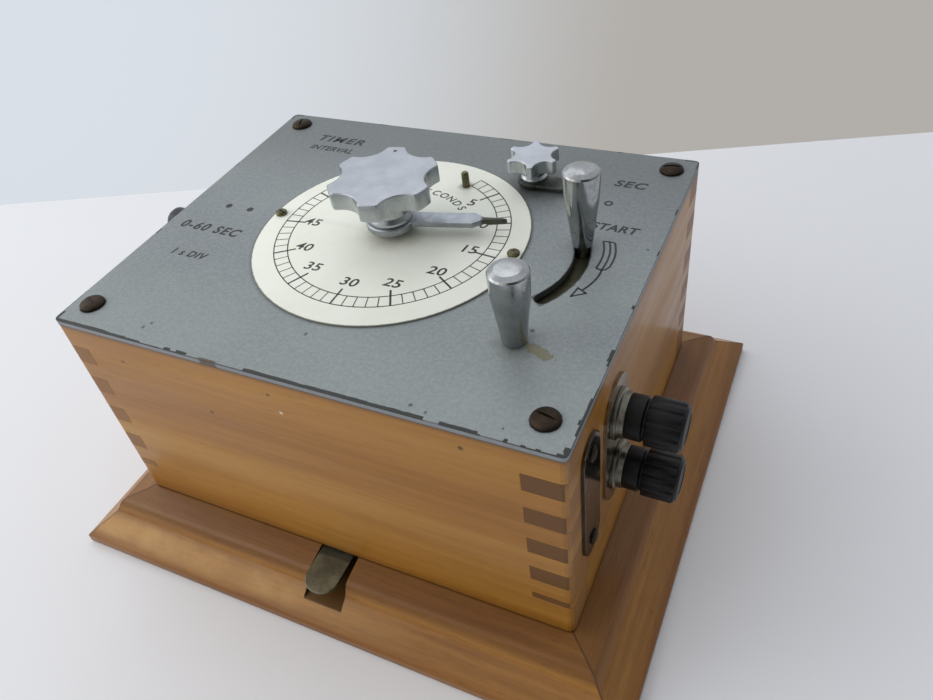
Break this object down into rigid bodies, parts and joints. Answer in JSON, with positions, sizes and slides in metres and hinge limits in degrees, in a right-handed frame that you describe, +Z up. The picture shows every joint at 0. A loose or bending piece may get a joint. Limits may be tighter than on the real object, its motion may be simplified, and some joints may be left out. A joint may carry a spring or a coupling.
{
  "type": "clockwork interval timer",
  "caption": "Clockwork seconds timer: wooden case on a moulded plinth, grey top plate with dial, hand, star knobs, curved-slot start lever, grip pillar, side terminals and a front latch.",
  "frame": {"origin": "centre of the plinth's underside", "axes": "+X to the right along the front, +Y to the back, +Z up"},
  "size_m": [0.202, 0.173, 0.1232],
  "materials": {
    "case_wood": "varnished honey-coloured beech",
    "plinth_wood": "varnished beech, browner than the case",
    "enamel": "worn satin grey enamel with chipped edges",
    "dial": "ivory printed dial, lightly soiled",
    "aluminium": "satin face, polished lobes",
    "nickel": "bright nickel, worn",
    "dark_steel": "oxidised dark brown",
    "steel": "ground",
    "brass": "turned, lacquered",
    "aged_brass": "dull olive patina",
    "bakelite": "moulded black, semi-gloss",
    "fibre": "pressed fibre board"
  },
  "bodies": {
    "case": {"base_board": "plinth_wood", "button_bush": "nickel", "case_front": "case_wood", "case_left": "case_wood", "case_rear": "case_wood", "case_right": "case_wood", "contact_block": "fibre", "contact_spring_fixed": "brass", "contact_spring_moving": "brass", "cover_plate": "nickel", "cover_screw_lower": "dark_steel", "cover_screw_upper": "dark_steel", "dial": "dial", "dial_screw_l": "aged_brass", "dial_screw_r": "aged_brass", "grip_pillar": "nickel", "grip_pillar_nut": "steel", "latch_pin": "steel", "latch_spring": "steel", "movement_plate_lower": "brass", "movement_plate_upper": "brass", "movement_post_1": "brass", "movement_post_2": "brass", "movement_post_3": "brass", "movement_screw_1": "steel", "movement_screw_2": "steel", "movement_screw_3": "steel", "plate_screw_fl": "dark_steel", "plate_screw_fr": "dark_steel", "plate_screw_rl": "dark_steel", "plate_screw_rr": "dark_steel", "plinth_front": "plinth_wood", "plinth_left": "plinth_wood", "plinth_rear": "plinth_wood", "plinth_right": "plinth_wood", "stop_pin": "aged_brass", "terminal_plate": "nickel", "terminal_stud_lower": "brass", "terminal_stud_upper": "brass", "top_plate": "enamel"},
    "hand_train": {"setting_knob": "aluminium", "time_hand": "aluminium", "main_arbor": "steel", "centre_wheel": "brass"},
    "barrel": {"barrel_drum": "brass", "mainspring": "steel"},
    "third": {"third_wheel": "brass"},
    "governor": {"governor_fly": "steel"},
    "lever": {"lever_arm": "steel", "lever_handle": "nickel"},
    "winder": {"winding_arbor": "steel"},
    "selector": {"selector_knob": "aluminium", "selector_pointer": "aluminium", "selector_spindle": "steel"},
    "clamp_upper": {"terminal_collar_upper": "nickel"},
    "head_upper": {"terminal_head_upper": "bakelite"},
    "clamp_lower": {"terminal_collar_lower": "nickel"},
    "head_lower": {"terminal_head_lower": "bakelite"},
    "button": {"side_button": "dark_steel"},
    "latch": {"latch_tab": "aged_brass"}
  },
  "joints": [
    {"name": "time_setting", "type": "hinge", "parent": "case", "child": "hand_train", "pos_m": [-0.001, 0.003, 0.097], "axis": [0, 0, 1], "range_deg": [-298, 49]},
    {"name": "barrel_turn", "type": "hinge", "parent": "case", "child": "barrel", "pos_m": [0.01599, -0.02411, 0.06], "axis": [0, 0, 1], "range_deg": [-22.5, 135.6]},
    {"name": "third_wheel_turn", "type": "hinge", "parent": "case", "child": "third", "pos_m": [-0.03475, 0.003, 0.065], "axis": [0, 0, 1], "range_deg": [-197, 1193]},
    {"name": "governor_turn", "type": "hinge", "parent": "case", "child": "governor", "pos_m": [-0.03918, -0.02211, 0.06], "axis": [0, 0, 1], "range_deg": [-2862, 471]},
    {"name": "start_lever", "type": "hinge", "parent": "case", "child": "lever", "pos_m": [0.033, 0.0006, 0.088], "axis": [0, 0, 1], "range_deg": [-55.5, 0]},
    {"name": "winding_turn", "type": "hinge", "parent": "case", "child": "winder", "pos_m": [0.01599, -0.02411, 0.088], "axis": [0, 0, 1], "range_deg": [-0.1, 222.1]},
    {"name": "selector_turn", "type": "hinge", "parent": "case", "child": "selector", "pos_m": [0.0321, 0.04, 0.097], "axis": [0, 0, 1], "range_deg": [-16, 23]},
    {"name": "clamp_upper_slide", "type": "slide", "parent": "case", "child": "clamp_upper", "axis": [1, 0, 0], "range_m": [0, 0.0014]},
    {"name": "terminal_upper_turn", "type": "hinge", "parent": "clamp_upper", "child": "head_upper", "pos_m": [0.09, -0.029, 0.0745], "axis": [1, 0, 0], "range_deg": [0, 720.5]},
    {"name": "clamp_lower_slide", "type": "slide", "parent": "case", "child": "clamp_lower", "axis": [1, 0, 0], "range_m": [0, 0.0014]},
    {"name": "terminal_lower_turn", "type": "hinge", "parent": "clamp_lower", "child": "head_lower", "pos_m": [0.09, -0.029, 0.053], "axis": [1, 0, 0], "range_deg": [0, 720.5]},
    {"name": "button_press", "type": "slide", "parent": "case", "child": "button", "axis": [1, 0, 0], "range_m": [0, 0.002], "stiffness_N_per_m": 300},
    {"name": "latch_lift", "type": "hinge", "parent": "case", "child": "latch", "pos_m": [-0.001, -0.0635, 0.0148], "axis": [-1, 0, 0], "range_deg": [0, 10], "deforming": ["latch_spring"]}
  ],
  "couplings": [
    {"joint": "barrel_turn", "follows": "time_setting", "ratio": -0.45455},
    {"joint": "third_wheel_turn", "follows": "time_setting", "ratio": -4},
    {"joint": "governor_turn", "follows": "time_setting", "ratio": 9.6},
    {"joint": "winding_turn", "follows": "start_lever", "ratio": -4},
    {"joint": "terminal_upper_turn", "follows": "clamp_upper_slide", "rad_per_m": 8976},
    {"joint": "terminal_lower_turn", "follows": "clamp_lower_slide", "rad_per_m": 8976}
  ]
}
